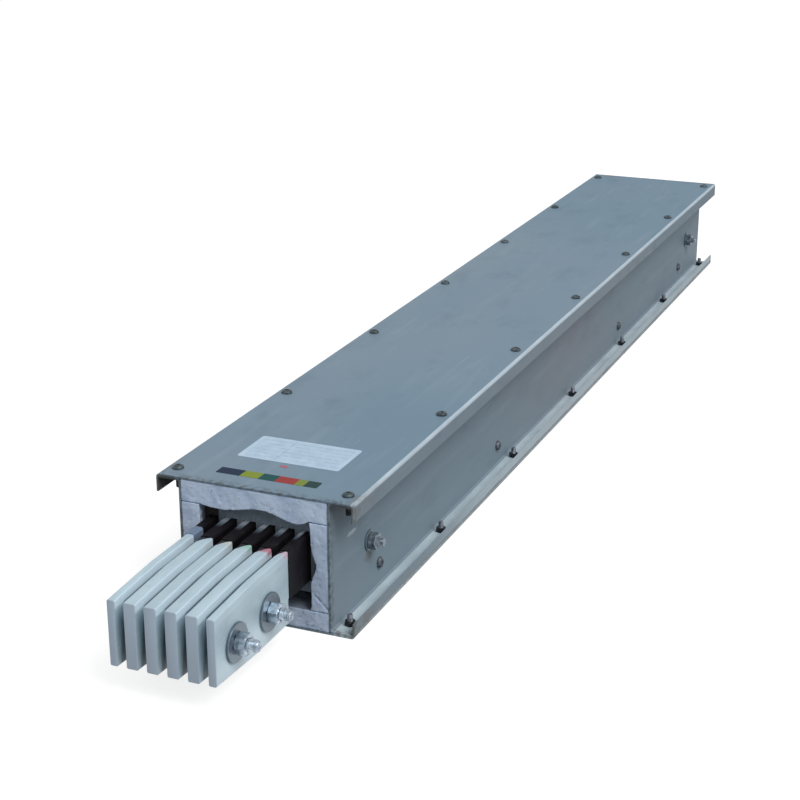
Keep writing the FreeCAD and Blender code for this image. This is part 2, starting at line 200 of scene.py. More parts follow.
def makeHousingPaint(name, colours, scuffs=()):
    # Grey coat on sheet steel: slow colour drift, fine orange peel, rubbed streaks, grime at the ends.
    finish = Finish(name, housingPaint, colours[0], 0.1)
    x, y, z = finish.coordinates()
    fromNear = y - nearEnd
    inward = coverSide - abs(x)     # from the outer side of the lips
    outward = abs(x) - webSide      # from the outer side of the webs
    down = coverTop - z
    finish.lay(finish.grain(0.34, 2.0, (1, 0.45, 1)).rise(0.32, 0.68), colours[1])
    streaks = finish.grain(0.02, 3.0, (1, 0.10, 1), (0.4, 0, 0.2))
    finish.lay(streaks.rise(0.5, 0.85) * 0.10, "scuffColour")
    # the lower flanges get pale dust, which also paints the light falling on them, and the outer bends a
    # painted highlight
    flangeDustAndLight = z.rise(0.0062, 0.0045) * outward.rise(0.0020, 0.0035)
    layer = finish.grain(0.018, 4.0, (1, 0.35, 1), (2, 6, 1), 0.6).rise(0.25, 0.75)
    finish.lay(flangeDustAndLight * (0.55 + 0.4 * layer), "dustColour")
    finish.lay(z.rise(0.065, 0.012) * 0.13, "dustColour")
    # painted highlight along the outer bends, broken up by a lengthwise grain
    bendHighlight = down.rise(0.0048, 0.0022) * inward.rise(0.0035, 0.0022)
    highlightBreakup = finish.grain(0.006, 3.0, (1, 0.15, 1), (5, 1, 2), 0.6)
    finish.lay(bendHighlight * (0.4 + 0.6 * highlightBreakup), "scuffColour")
    # painted shade on the inner side of the lips and the underside of the top cover
    under = down.rise(0.0012, 0.0018) * z.rise(0.09, 0.1)
    under = under * inward.rise(0.0012, 0.0018) * outward.rise(0.0010, 0.0025)
    finish.lay(under * 0.75, "underColour")
    # painted shade on the lips' outer faces outside the bends, and the lower one splashed along its edge
    lip = inward.rise(0.0015, 0.0007)
    finish.lay(lip * (1.0 - bendHighlight) * 0.4, "lipColour")
    splash = finish.grain(0.003, 3.0, (1, 0.6, 1), (4, 7, 1), 0.6).rise(0.45, 0.65)
    finish.lay(splash * z.rise(0.010, 0.003) * lip * 0.5, "bronzeColour")
    # away from the near end, dust has also dried on the upper half of the lower lip
    dried = (z + layer * 0.002).rise(0.0075, 0.0100) * z.rise(0.03, 0.02) * inward.rise(0.0025, 0.0015)
    finish.lay(dried * fromNear.rise(0.12, 0.42) * 0.6, "dustColour")
    # the near corners are tanned by heat and hands
    tanned = finish.grain(0.014, 3.0, (1, 0.5, 1), (8, 3, 2), 0.6).rise(0.35, 0.65)
    tanned = tanned * fromNear.rise(0.085, 0.01) * inward.rise(0.0125, 0.0035)
    finish.lay(tanned * 0.5, "bronzeColour")
    finish.lay(finish.grain(0.0016, 1.0).rise(0.62, 0.75) * 0.10, "grimeColour")
    dust = finish.grain(0.05, 4.0, (1, 0.6, 1), (3, 1, 2), 0.65)
    finish.lay(dust.rise(0.5, 0.78) * 0.12, "grimeColour")
    # thin scratches that run nearly lengthwise
    worn = finish.grain(0.11, 2.0, (1, 1, 1), (5, 5, 5)).rise(0.5, 0.62)
    scratches = finish.grain(0.0011, 1.0, (1, 0.012, 1), (7, 2, 5)).rise(0.70, 0.76) * worn
    finish.lay(scratches * 0.15, "scuffColour")
    # the last millimetres at both ends of the sheet are handled and dirty
    toEnd = fromNear.smaller(farEnd - y)
    soil = finish.grain(0.006, 3.0, (1, 1, 1), (1, 9, 4)).rise(0.38, 0.7)
    finish.lay(soil * toEnd.rise(0.012, 0.0005) * 0.75, "grimeColour")
    for scuff in scuffs:
        length, depth = scuff["reach"]
        away = ((fromNear - scuff["along"]) / length) ** 2.0 + ((z - scuff["height"]) / depth) ** 2.0
        ragged = (away + finish.grain(0.004, 3.0) * 0.8).rise(1.35, 0.5)
        finish.lay(ragged * (x - webSide).rise(-0.004, -0.002) * scuff["share"], scuff["colour"])
    gloss = (housingPaint["roughness"] + streaks * 0.10 + dust.rise(0.5, 0.8) * 0.12
             - scratches * 0.1)
    dents = finish.grain(housingPaint["dentSize"], 1.0, (1, 0.7, 1), (2, 8, 1))
    peel = finish.grain(housingPaint["peelSize"])
    normal = finish.bump(dents, housingPaint["dentDepth"], 0.5)
    return finish.done(gloss, finish.bump(peel, housingPaint["peelDepth"], 0.5, normal))


boardFinish = {
    "colour": tone(208, 226, 250),
    "shadeColour": tone(190, 208, 236),
    "paleColour": tone(222, 238, 252),
    "stainColour": tone(138, 154, 182),
    "crackColour": tone(62, 72, 92),
    "sootColour": tone(38, 38, 42),
    "roughness": 0.82,
    "crumbDepth": 0.0011,
}


def makeBoardFinish(name):
    # Mineral board: chalky, with fibres, crumbled patches, rubbed dust and small dark pits.
    finish = Finish(name, boardFinish, "shadeColour", 0.15)
    x, y, z = finish.coordinates()
    patches = finish.grain(0.024, 4.0, (1, 1, 1), (0.2, 0.1, 0.7), 0.6)
    finish.lay(patches.rise(0.34, 0.62), "colour")
    chalk = finish.grain(0.009, 3.0, (1, 1, 1), (4, 4, 4), 0.6)
    finish.lay(chalk.rise(0.55, 0.72) * 0.7, "paleColour")
    fibre = finish.grain(0.0035, 3.0, (1, 1, 0.22), (2, 3, 1), 0.7)
    finish.lay(fibre.rise(0.58, 0.8) * 0.2, "shadeColour")
    pits = finish.grain(0.0042, 2.0, (1, 1, 1), (9, 9, 2)).rise(0.66, 0.74)
    stain = finish.grain(0.016, 3.0, (1, 1, 0.6), (6, 1, 8)).rise(0.6, 0.78)
    finish.lay(pits * 0.35, "crackColour")
    finish.lay(stain * 0.35, "stainColour")
    # painted shade on the faces that look into the mouth, a little less at the bottom
    inner = -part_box("lining_left")[1].x
    toEnd = (y - nearEnd).smaller(farEnd - y)
    mouthShadeShare = abs(x).rise(inner + 0.0006, inner + 0.0002) * toEnd.rise(0.0008, 0.0026)
    finish.lay(mouthShadeShare * (0.75 - z.rise(0.026, 0.018) * 0.2), "sootColour")
    height = patches * 0.6 + chalk * 0.5 + fibre * 0.25 - pits * 0.6
    return finish.done(boardFinish["roughness"] + fibre * 0.12,
                       finish.bump(height, boardFinish["crumbDepth"], 0.5))


barFinish = {
    "colour": tone(182, 205, 216),
    "dullColour": tone(168, 190, 203),
    "brightColour": tone(206, 224, 231),
    "smudgeColour": tone(136, 150, 162),
    "edgeColour": tone(218, 236, 247),
    "sawnColour": tone(170, 186, 204),
    "tarnishColour": tone(96, 110, 122),
    "filmColour": tone(18, 16, 20),
    "roughness": 0.41,
    "metallic": 0.1,
    "noseLength": 0.075, "noseSlope": 0.06,     # how the upper edge falls towards the end
    "markLength": 0.009,
}


def makeBarFinish(name, low, high, inGap, mark, markShare, blackBandLength):
    # Tin plate: cloudy, drawn lengthwise, painted light on its sides below the upper edges, painted shade
    # deep in the gaps, sawn at the end, finger smudges. At the root lie a dab of phase paint and a slanting
    # black band.
    finish = Finish(name, barFinish, "dullColour", 0.5)
    x, y, z = finish.coordinates()
    clouds = finish.grain(0.03, 3.0, (1, 0.5, 1), (0.3, 0, 0))
    finish.lay(clouds.rise(0.3, 0.7), "colour")
    drawn = finish.grain(0.0014, 2.0, (1, 0.02, 1))
    finish.lay(drawn.rise(0.5, 0.75) * 0.35, "brightColour")
    smudge = finish.grain(0.014, 4.0, (1, 0.8, 1), (3, 3, 3), 0.65).rise(0.58, 0.8)
    finish.lay(smudge * 0.3, "smudgeColour")
    nicks = finish.grain(0.002, 1.0, (1, 0.3, 1), (8, 1, 1)).rise(0.72, 0.78)
    finish.lay(nicks * 0.35, "smudgeColour")
    # painted light on the two sides below the upper edge, strong between the bars
    width = high.x - low.x
    fromTip = y - low.y
    fall = (barFinish["noseLength"] - fromTip).larger(0.0) * barFinish["noseSlope"]
    below = high.z - z - fall
    side = (abs(x - (low.x + high.x) / 2) - width / 2).rise(-0.0005, -0.0002)
    paintedSideLight = below.rise(0.0098, 0.0070) * side * (0.9 if inGap else 0.15)
    finish.lay(paintedSideLight * (0.8 + 0.4 * drawn), "edgeColour")
    if inGap:
        # painted shade on the sides deep in the gaps, the more so the lower they are
        behind = fromTip - 0.016 + (below - 0.008).larger(0.0) * 0.19
        gapShadeShare = behind.rise(-0.002, 0.003) * below.rise(0.0072, 0.0098) * side
        finish.lay(gapShadeShare * 0.8, "tarnishColour")
    else:
        # the open side of the last bar is lighter, the more so lower down
        finish.lay(below.rise(0.028, 0.060) * side * 0.6, "edgeColour")
    sawn = fromTip.smaller(high.y - y).rise(0.0012, 0.0006)
    finish.lay(sawn * 0.8, "sawnColour")
    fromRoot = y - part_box("bar_sleeve_1")[0].y
    ragged = finish.grain(0.006, 2.0, (1, 1, 1), (1, 2, 3))
    nearRoot = fromRoot.rise(0.03, 0.02)
    if mark is not None:
        longest = barFinish["markLength"]
        painted = (fromRoot + ragged * 0.006).rise(-longest, -longest * 0.3) * nearRoot
        finish.lay(painted * (high.z - z).rise(0.008, 0.002) * markShare, mark)
    # a slanting black band at the root, reaching furthest forward at the bar's left side
    across = (x - low.x) / width
    reach = (1.0 - across).larger(0.0) ** 1.8 * blackBandLength + (ragged - 0.5) * blackBandLength * 0.2
    finish.lay((fromRoot + reach).rise(0.0, 0.0006) * nearRoot, "filmColour")
    return finish.done(barFinish["roughness"] + smudge * 0.14 + drawn * 0.1,
                       finish.bump(clouds * 0.4 + drawn * 0.15, 0.0006, 0.4), barFinish["metallic"])


sleeveFinish = {
    "colour": tone(15, 13, 17),
    "dustColour": tone(40, 37, 43),
    "roughness": 0.49,
    "tapeColour": tone(126, 144, 168),
    "tapeShade": tone(104, 120, 144),
    "tapeLength": 0.0175,
    "powderColour": tone(96, 108, 120),
    "paleColour": tone(178, 190, 202),
    "powderLength": 0.025,
    "blackShare": 0.42,     # of the top's width, which stays free of powder
}


def makeSleeveFinish(name, low, high, taped):
    # Black shrunk sleeve: fine cross wrinkles and a film of dust. Board powder lies on its top in
    # front of the support plate, on the left part, paler right at the plate as painted light. The leftmost
    # one is clean there, and it is wound with grey cloth tape in front of the housing.
    finish = Finish(name, sleeveFinish, "colour", 0.15)
    x, y, z = finish.coordinates()
    wrinkles = finish.grain(0.004, 3.0, (0.4, 1.6, 0.4))
    dust = finish.grain(0.02, 4.0, (1, 1, 1), (1, 2, 3), 0.65).rise(0.5, 0.8)
    finish.lay(dust * 0.5, "dustColour")
    if taped:
        weave = finish.grain(0.0016, 2.0, (1, 1, 0.4), (5, 5, 5))
        tape = finish.mixed(weave.rise(0.35, 0.65), "tapeShade", "tapeColour")
        outside = nearEnd - sleeveFinish["tapeLength"] - y - (wrinkles - 0.5) * 0.002
        finish.lay(outside.rise(0.0, 0.001), tape)
    else:
        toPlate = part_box("bar_support_near")[0].y - y
        rightLine = high.x - (high.x - low.x) * sleeveFinish["blackShare"]
        powder = (rightLine - x).rise(0.0, 0.0006) * (high.z - z).rise(0.0024, 0.0018)
        powder = powder * (toPlate + (wrinkles - 0.5) * 0.003).rise(sleeveFinish["powderLength"], 0.010)
        # the powder turns pale right at the plate: painted light
        powderLitAtPlate = finish.mixed(toPlate.rise(0.014, 0.002), "powderColour", "paleColour")
        finish.lay(powder * toPlate.rise(-0.003, 0.0), powderLitAtPlate)
    return finish.done(sleeveFinish["roughness"] + dust * 0.25 + wrinkles * 0.08,
                       finish.bump(wrinkles, 0.0005, 0.6))


laminateFinish = {"colour": tone(128, 142, 156), "fleckColour": tone(154, 168, 182),
                  "cloudColour": tone(40, 44, 50), "roughness": 0.61}
insulatorFinish = {"colour": tone(34, 34, 38), "fleckColour": tone(56, 56, 60),
                   "cloudColour": tone(40, 44, 50), "roughness": 0.45}


def makeLaminateFinish(name, settings, shadedFrom=None):
    # Pressed insulating board or moulding: cloth-like fleck and dull wear, and painted shade, near black,
    # at the near one's left edge where a start is given.
    finish = Finish(name, settings, "colour", 0.3)
    x, y = finish.coordinates()[:2]
    weave = finish.grain(0.0024, 2.0, (1, 1, 0.3))
    cross = finish.grain(0.0024, 2.0, (0.3, 1, 1), (2, 0, 0))
    cloud = finish.grain(0.03, 3.0, (1, 1, 1), (2, 2, 2))
    finish.lay((weave + cross).rise(0.98, 1.22) * 0.5, "fleckColour")
    finish.lay(cloud.rise(0.35, 0.75) * 0.3, "cloudColour")
    if shadedFrom is not None:
        # painted shade, near black, beside the start on the near plate
        finish.lay(x.rise(shadedFrom, shadedFrom - 0.002) * y.rise(0.1, 0.0), sleeveFinish["colour"])
    return finish.done(settings["roughness"] + cloud * 0.12, finish.bump(weave + cross, 0.0002, 0.5))


# Plated steels by the fasteners that they are for; the washers lie between the given distances
# from the middle.
washerColour = tone(98, 112, 122)
steels = {
    "zincPlate": {"colour": tone(186, 200, 212), "dull": tone(126, 141, 155), "stain": tone(92, 88, 76),
                  "roughness": 0.3, "metallic": 0.85, "stainShare": 0.3, "washers": (0.0542, 0.0577)},
    "endZincPlate": {"colour": tone(140, 154, 166), "dull": tone(88, 100, 112), "stain": tone(80, 78, 70),
                     "roughness": 0.36, "metallic": 0.5, "stainShare": 0.35,
                     "washers": (0.0813, 0.0837)},
    "smallScrewSteel": {"colour": tone(82, 96, 102), "dull": tone(46, 56, 62), "stain": tone(72, 64, 50),
                        "roughness": 0.5, "metallic": 0.6, "stainShare": 0.4},
    "webScrewSteel": {"colour": tone(106, 114, 122), "dull": tone(54, 62, 70), "stain": tone(72, 64, 50),
                      "roughness": 0.5, "metallic": 0.5, "stainShare": 0.4},
    "studSteel": {"colour": tone(150, 154, 166), "dull": tone(92, 96, 106), "stain": tone(80, 74, 66),
                  "roughness": 0.45, "metallic": 0.5, "stainShare": 0.35},
    "darkNutSteel": {"colour": tone(56, 62, 68), "dull": tone(30, 34, 38), "stain": tone(60, 48, 34),
                     "roughness": 0.45, "metallic": 0.7, "stainShare": 0.35},
}


def makeSteel(name, steel):
    # Plated steel: cloudy passivation, turned or rolled marks, stains in patches, greyer washers.
    finish = Finish(name, steel, "dull", 0.5)
    cloud = finish.grain(0.005, 3.0, (1, 1, 1), (1, 5, 2), 0.6)
    finish.lay(cloud.rise(0.35, 0.65), "colour")
    spots = finish.grain(0.0022, 3.0, (1, 1, 1), (7, 3, 1), 0.65).rise(0.56, 0.72)
    finish.lay(spots * steel["stainShare"], "stain")
    if "washers" in steel:
        near, far = steel["washers"]
        out = abs(finish.coordinates()[0])
        share = out.rise(near - 0.0004, near) * out.rise(far, far - 0.0002)
        finish.lay(share * (0.7 + 0.3 * cloud), washerColour)
    gloss = steel["roughness"] - 0.06 + cloud * 0.12 + spots * 0.15
    normal = finish.bump(finish.grain(0.0005, 1.0) + cloud, 0.00006, 0.6)
    return finish.done(gloss, normal, steel["metallic"] - spots * 0.35)


finishes = {
    "cover": makeHousingPaint("coverPaint", housingPaint["coverColours"]),
    "plate": makeHousingPaint("sidePlatePaint", housingPaint["plateColours"], webScuffs),
    "board": makeBoardFinish("mineralBoard"),
    "support": makeLaminateFinish("supportLaminate", laminateFinish,
                                  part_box("bar_sleeve_1")[1].x + 0.002),
    "insulator": makeLaminateFinish("mouldedInsulator", insulatorFinish),
}
for name, steel in steels.items():
    finishes[name] = makeSteel(name, steel)

# Bars from the left: the phase paint at the root and its share, and the length of the slanting
# black band on top.
barRoots = [(None, 0, 0.0), (None, 0, 0.015), (tone(206, 200, 176), 0.45, 0.017),
            (tone(134, 192, 166), 0.6, 0.017), (tone(186, 70, 104), 0.75, 0.017),
            (tone(222, 156, 176), 0.5, 0.017)]
barCount = len(barRoots)
print("finishes made:", len(finishes))


def dress(nodeName, material):
    slots = nodes[nodeName].material_slots
    if len(slots) == 0:
        nodes[nodeName].data.materials.append(material)
    for slot in slots:
        slot.material = material


dressed = {"cover": ("top_cover", "bottom_cover"), "plate": ("side_plate_left", "side_plate_right"),
           "support": ("bar_support_near", "bar_support_far"),
           "insulator": ("joint_bolt_tubes", "joint_spacers")}
for key, nodeNames in dressed.items():
    for nodeName in nodeNames:
        dress(nodeName, finishes[key])
for number in range(1, barCount + 1):
    nodeName = "bar_sleeve_" + str(number)
    dress(nodeName, makeSleeveFinish("shrunkSleeve" + str(number), *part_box(nodeName), number == 1))
print("solids dressed")


# Mesh helpers

def plainMesh(shape, name):
    mesh = bpy.data.meshes.new(name)
    shape.to_mesh(mesh)
    shape.free()
    return mesh


def smoothed(mesh, sharpFrom):
    mesh.shade_smooth()
    mesh.set_sharp_from_angle(angle=math.radians(sharpFrom))
    return mesh


def meshFrom(shape, name, sharpFrom=35.0, scale=1.0):
    bmesh.ops.scale(shape, vec=(scale, scale, scale), verts=shape.verts)
    bmesh.ops.recalc_face_normals(shape, faces=shape.faces)
    return smoothed(plainMesh(shape, name), sharpFrom)


def join(shape, extra):
    # Adds one shape's mesh to another.
    mesh = plainMesh(extra, "extra")
    shape.from_mesh(mesh)
    bpy.data.meshes.remove(mesh)


def holderOf(data, name="holder"):
    holder = bpy.data.objects.new(name, data)
    bpy.context.scene.collection.objects.link(holder)
    return holder


def pieceFrom(name, mesh, material, stands=()):
    mesh.materials.clear()
    mesh.materials.append(material)
    piece = holderOf(mesh, name)
    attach(piece, "root")
    if stands:
        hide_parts(*stands)


def evaluated(holder):
    # The plain mesh that an object's modifiers give; the object itself is then removed.
    bpy.context.view_layer.update()
    depsgraph = bpy.context.evaluated_depsgraph_get()
    mesh = bpy.data.meshes.new_from_object(holder.evaluated_get(depsgraph))
    holder.modifiers.clear()
    bpy.data.objects.remove(holder)
    return mesh


def changed(mesh, kind, settings):
    # The mesh after one modifier.
    holder = holderOf(mesh)
    change = holder.modifiers.new("change", kind)
    for key, value in settings.items():
        setattr(change, key, value)
    return evaluated(holder)


def mergedCopy(nodeName):
    shape = bmesh.new()
    shape.from_mesh(nodes[nodeName].data)
    bmesh.ops.remove_doubles(shape, verts=shape.verts, dist=0.00002)
    return shape


def addRing(shape, steps, height, reach):
    # Points about Z; reach is their distance, or gives it for a turn from 0 to 1. 0 is one point.
    if reach == 0:
        return [shape.verts.new((0, 0, height))]
    ring = []
    for i in range(steps):
        angle = 2 * math.pi * i / steps
        radius = reach(i / steps) if callable(reach) else reach
        ring.append(shape.verts.new((radius * math.cos(angle), radius * math.sin(angle), height)))
    return ring


def bridge(shape, rings, closed=False, capped=False):
    # Faces from each ring to the next, a fan where one of the two is a single point.
    for low, high in zip(rings, rings[1:] + rings[:1] if closed else rings[1:]):
        steps = max(len(low), len(high))
        for i in range(steps):
            j = (i + 1) % steps
            corners = [low[i % len(low)], low[j % len(low)], high[j % len(high)], high[i % len(high)]]
            shape.faces.new(list(dict.fromkeys(corners)))
    if capped:
        shape.faces.new(list(reversed(rings[0])))
        shape.faces.new(rings[-1])


def revolve(shape, outline, steps, closed=False):
    # Turns an outline of (radius, height) points about Z.
    bridge(shape, [addRing(shape, steps, height, radius) for radius, height in outline], closed)


def addThread(shape, size, low, high, steps=20, rows=6):
    # Threaded rod with a helical ridge, its end turned down to a short point.
    radius, pitch = size["thread"] / 2, size["pitch"]
    depth = 0.6 * pitch
    count = max(2, int((high - low) / pitch * rows))
    rings = []
    for row in range(count + 1):
        height = low + (high - low) * row / count
        lead = min(1.0, (high - height) / (pitch * 0.8))

        def reach(turn):
            phase = (height / pitch - turn) % 1.0
            return radius - depth + depth * abs(2 * phase - 1) * lead
        rings.append(addRing(shape, steps, height, reach))
    bridge(shape, rings, capped=True)


def addNut(shape, width, height, bore, steps=36, crown=1.0, foot=0.0):
    # Hexagonal nut, its corners turned off and its bore eased.
    eased = [crown * share for share in (0.0, 0.35, 0.7, 1.0)]
    rings = []
    for level in eased + [height - level for level in reversed(eased)]:
        turned = width / 2 * 0.985 + min(level, height - level) * 1.9

        def reach(turn):
            folded = (2 * math.pi * turn) % (math.pi / 3) - math.pi / 6
            return min(width / 2 / math.cos(folded), turned)
        rings.append(addRing(shape, steps, foot + level, reach))
    for radius, level in ((bore * 1.08, height), (bore, height - bore * 0.1), (bore, bore * 0.1),
                          (bore * 1.08, 0)):
        rings.append(addRing(shape, steps, foot + level, radius))
    bridge(shape, rings, closed=True)


def turnDown(shape, level=0.0):
    # Puts a shape that stands on Z = 0 upside down under a level.
    for vertex in shape.verts:
        vertex.co.z = level - vertex.co.z


def washerOutline(bore, width, thickness, ease, foot=0.0):
    # Outline of a washer with eased edges, standing on its foot.
    inner, outer, top = bore / 2, width / 2, foot + thickness
    return [(inner, foot + ease), (inner + ease, foot), (outer - ease, foot), (outer, foot + ease),
            (outer, top - ease), (outer - ease, top), (inner + ease, top), (inner, top - ease)]


def panHeadOutline(radius, height):
    # Domed head from its seat to its crown.
    outline = [(0, 0), (radius * 0.96, 0), (radius, height * 0.08), (radius * 0.99, height * 0.3)]
    for i in range(1, 7):
        angle = math.radians(15 * i)
        outline.append((radius * (0.42 + 0.55 * math.cos(angle)), height * (0.34 + 0.66 * math.sin(angle))))
    outline.append((0, height))
    return outline


def cutRecess(mesh, size):
    # Cross recess for a driver, tapered towards its floor.
    cutter = bmesh.new()
    width, height, depth = size["recess"], size["headHeight"], size["recessDepth"]
    for turn in (0, math.pi / 2):
        rings = []
        for level, share in ((height - depth, 0.55), (height + depth * 0.3, 1.05)):
            ring = []
            for sx, sy in ((-1, -1), (1, -1), (1, 1), (-1, 1)):
                point = Vector((sx * width / 2 * share, sy * width * 0.11 * (0.6 + 0.4 * share), level))
                ring.append(cutter.verts.new(Matrix.Rotation(turn, 3, "Z") @ point))
            rings.append(ring)
        bridge(cutter, rings, capped=True)
    tool = holderOf(meshFrom(cutter, "recess"), "recessCutter")
    result = changed(mesh, "BOOLEAN", {"operation": "DIFFERENCE", "solver": "EXACT", "use_self": True,
                                       "object": tool})
    bpy.data.objects.remove(tool)
    return result


# Geometry Nodes that set one fastener on every marked place

def buildFastenerTree():
    tree = bpy.data.node_groups.new("fastenerPlaces", "GeometryNodeTree")
    inputs = {}
    for key, kind in {"Places": "Geometry", "Fastener": "Object", "Spin": "Float", "Seed": "Int",
                      "Finish": "Material"}.items():
        socket = tree.interface.new_socket(key, in_out="INPUT", socket_type="NodeSocket" + kind)
        inputs[key] = socket.identifier
    tree.interface.new_socket("Fasteners", in_out="OUTPUT", socket_type="NodeSocketGeometry")
    kinds = {
        "given": "NodeGroupInput", "taken": "NodeGroupOutput", "fastener": "GeometryNodeObjectInfo",
        "facing": "GeometryNodeInputNamedAttribute", "align": "FunctionNodeAlignRotationToVector",
        "random": "FunctionNodeRandomValue", "spin": "FunctionNodeAxisAngleToRotation",
        "turn": "FunctionNodeRotateRotation", "place": "GeometryNodeInstanceOnPoints",
        "realize": "GeometryNodeRealizeInstances", "paint": "GeometryNodeSetMaterial",
    }
    made = {key: tree.nodes.new(kind) for key, kind in kinds.items()}
    made["facing"].data_type = "FLOAT_VECTOR"
    made["facing"].inputs["Name"].default_value = "facing"
    made["align"].axis = "Z"
    made["random"].data_type = "FLOAT"
    made["spin"].inputs["Axis"].default_value = (0, 0, 1)
    made["turn"].rotation_space = "LOCAL"
    lowest, spread = [s for s in made["random"].inputs if s.name in ("Min", "Max") and s.type == "VALUE"]
    lowest.default_value = 0.0
    drawn = [s for s in made["random"].outputs if s.type == "VALUE"][0]
    vector = [s for s in made["facing"].outputs if s.type == "VECTOR"][0]
    tree.links.new(made["given"].outputs["Spin"], spread)
    tree.links.new(vector, made["align"].inputs["Vector"])
    tree.links.new(drawn, made["spin"].inputs["Angle"])
    for start, output, end, entry in (
            ("given", "Fastener", "fastener", "Object"), ("given", "Seed", "random", "Seed"),
            ("align", 0, "turn", "Rotation"), ("spin", 0, "turn", "Rotate By"),
            ("given", "Places", "place", "Points"), ("fastener", "Geometry", "place", "Instance"),
            ("turn", 0, "place", "Rotation"), ("place", 0, "realize", 0),
            ("realize", 0, "paint", "Geometry"), ("given", "Finish", "paint", "Material"),
            ("paint", 0, "taken", 0)):
        tree.links.new(made[start].outputs[output], made[end].inputs[entry])
    return tree, inputs


fastenerTree, fastenerInputs = buildFastenerTree()
fullSpin = 6.28


def setFasteners(name, master, places, finish, stands, seed, spin=fullSpin):
    # Sets the master mesh on every (position, facing) place and makes one plain piece of them.
    points = bpy.data.meshes.new(name + "Places")
    points.from_pydata([place for place, facing in places], [], [])
    direction = points.attributes.new("facing", "FLOAT_VECTOR", "POINT")
    for i, (place, facing) in enumerate(places):
        direction.data[i].vector = facing
    model = holderOf(master, name + "Master")
    holder = holderOf(points, name + "Holder")
    change = holder.modifiers.new("places", "NODES")
    change.node_group = fastenerTree
    values = {"Fastener": model, "Spin": spin, "Seed": seed, "Finish": finishes[finish]}
    for key, value in values.items():
        change[fastenerInputs[key]] = value
    mesh = evaluated(holder)
    bpy.data.objects.remove(model)
    pieceFrom(name, mesh, finishes[finish], stands)


# Fasteners, their sizes in millimetres

coverScrew = {"headWidth": 12.0, "headHeight": 3.6, "thread": 6.0, "pitch": 1.0, "length": 20.0,
              "recess": 6.4, "recessDepth": 2.2, "count": 7, "near": 20.0, "far": 28.0}
screwX = (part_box("side_plate_right")[1].x + webSide) / 2
run = farEnd - nearEnd - (coverScrew["near"] + coverScrew["far"]) * mm
bothRows = [(side * screwX, nearEnd + coverScrew["near"] * mm + run * i / (coverScrew["count"] - 1))
            for side in (-1, 1) for i in range(coverScrew["count"])]


def panScrewMesh(size, name):
    # Head with a cross recess and a threaded shank, its seat at Z = 0 and its head up.
    head = bmesh.new()
    revolve(head, panHeadOutline(size["headWidth"] / 2, size["headHeight"]), 28)
    whole = bmesh.new()
    whole.from_mesh(cutRecess(meshFrom(head, name), size))
    shank = bmesh.new()
    addThread(shank, size, 0, size["length"], 14, 5)
    turnDown(shank)
    join(whole, shank)
    return meshFrom(whole, name, scale=mm)


setFasteners("coverScrewRow", panScrewMesh(coverScrew, "coverScrewMaster"),
             [((x, y, coverTop), (0, 0, 1)) for x, y in bothRows],
             "smallScrewSteel", ["cover_screws"], 3)

smallNut = {"width": 10.0, "height": 5.0, "bore": 2.95}


def nutMesh(size, name):
    shape = bmesh.new()
    addNut(shape, size["width"], size["height"], size["bore"], crown=0.8)
    return meshFrom(shape, name, 28, mm)


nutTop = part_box("cover_nuts")[1].z
setFasteners("coverNutRow", nutMesh(smallNut, "coverNutMaster"),
             [((x, y, nutTop), (0, 0, -1)) for x, y in bothRows],
             "darkNutSteel", ["cover_nuts"], 8)

baseStud = {"thread": 6.0, "pitch": 1.0, "length": 14.0}


def studMesh(size, name):
    # Threaded stud, foot at Z = 0.
    shape = bmesh.new()
    addThread(shape, size, 0, size["length"], 14, 5)
    return meshFrom(shape, name, scale=mm)


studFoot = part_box("base_studs")[0].z
setFasteners("baseStudRow", studMesh(baseStud, "baseStudMaster"),
             [((x, y, studFoot), (0, 0, 1)) for x, y in bothRows],
             "studSteel", ["base_studs"], 5)
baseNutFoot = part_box("base_nuts")[0].z
setFasteners("baseNutRow", nutMesh(smallNut, "baseNutMaster"),
             [((x, y, baseNutFoot), (0, 0, 1)) for x, y in bothRows],
             "darkNutSteel", ["base_nuts"], 11)


def onWebs(stations, height):
    # Places on the outer side of both webs.
    return [((side * webSide, station, height * mm), (side, 0, 0))
            for side in (-1, 1) for station in stations]


webScrew = {"headWidth": 12.0, "headHeight": 4.0, "thread": 6.0, "pitch": 1.0, "length": 14.0,
            "recess": 6.4, "recessDepth": 2.4, "height": 27.5, "near": 117.0, "far": 139.0,
            "spacing": 528.0}
firstScrew = nearEnd + webScrew["near"] * mm
lastScrew = farEnd - webScrew["far"] * mm
middle = (firstScrew + lastScrew) / 2
webStations = [firstScrew, middle - webScrew["spacing"] / 2 * mm,
               middle + webScrew["spacing"] / 2 * mm, lastScrew]
setFasteners("webScrewRow", panScrewMesh(webScrew, "webScrewMaster"),
             onWebs(webStations, webScrew["height"]),
             "webScrewSteel", ["web_screws"], 21)

endBolt = {"thread": 10.0, "pitch": 1.5, "headWidth": 19.0, "headHeight": 4.0, "washerWidth": 22.0,
           "washerBore": 10.8, "washerThickness": 2.0, "nutWidth": 16.0, "nutHeight": 8.4,
           "beyondNut": 7.0, "inset": 92.0, "height": 63.0, "grip": 17.0}


def boltEndMesh(size, name):
    # Washer, nut and thread on the outside face at Z = 0, shank and low round head behind it.
    shape = bmesh.new()
    thickness, nutHeight = size["washerThickness"], size["nutHeight"]
    revolve(shape, washerOutline(size["washerBore"], size["washerWidth"], thickness, 0.3), 40, True)
    addNut(shape, size["nutWidth"], nutHeight, size["thread"] / 2 * 0.99, 36, 1.1, thickness)
    addThread(shape, size, -size["grip"], thickness + nutHeight + size["beyondNut"])
    head = bmesh.new()
    revolve(head, panHeadOutline(size["headWidth"] / 2, size["headHeight"]), 32)
    turnDown(head, -size["grip"])
    join(shape, head)
    return meshFrom(shape, name, 30, mm)


endStations = (nearEnd + endBolt["inset"] * mm, farEnd - endBolt["inset"] * mm)
setFasteners("endBoltSet", boltEndMesh(endBolt, "endBoltMaster"), onWebs(endStations, endBolt["height"]),
             "endZincPlate", ["end_bolts", "end_washers", "end_nuts"], 2)

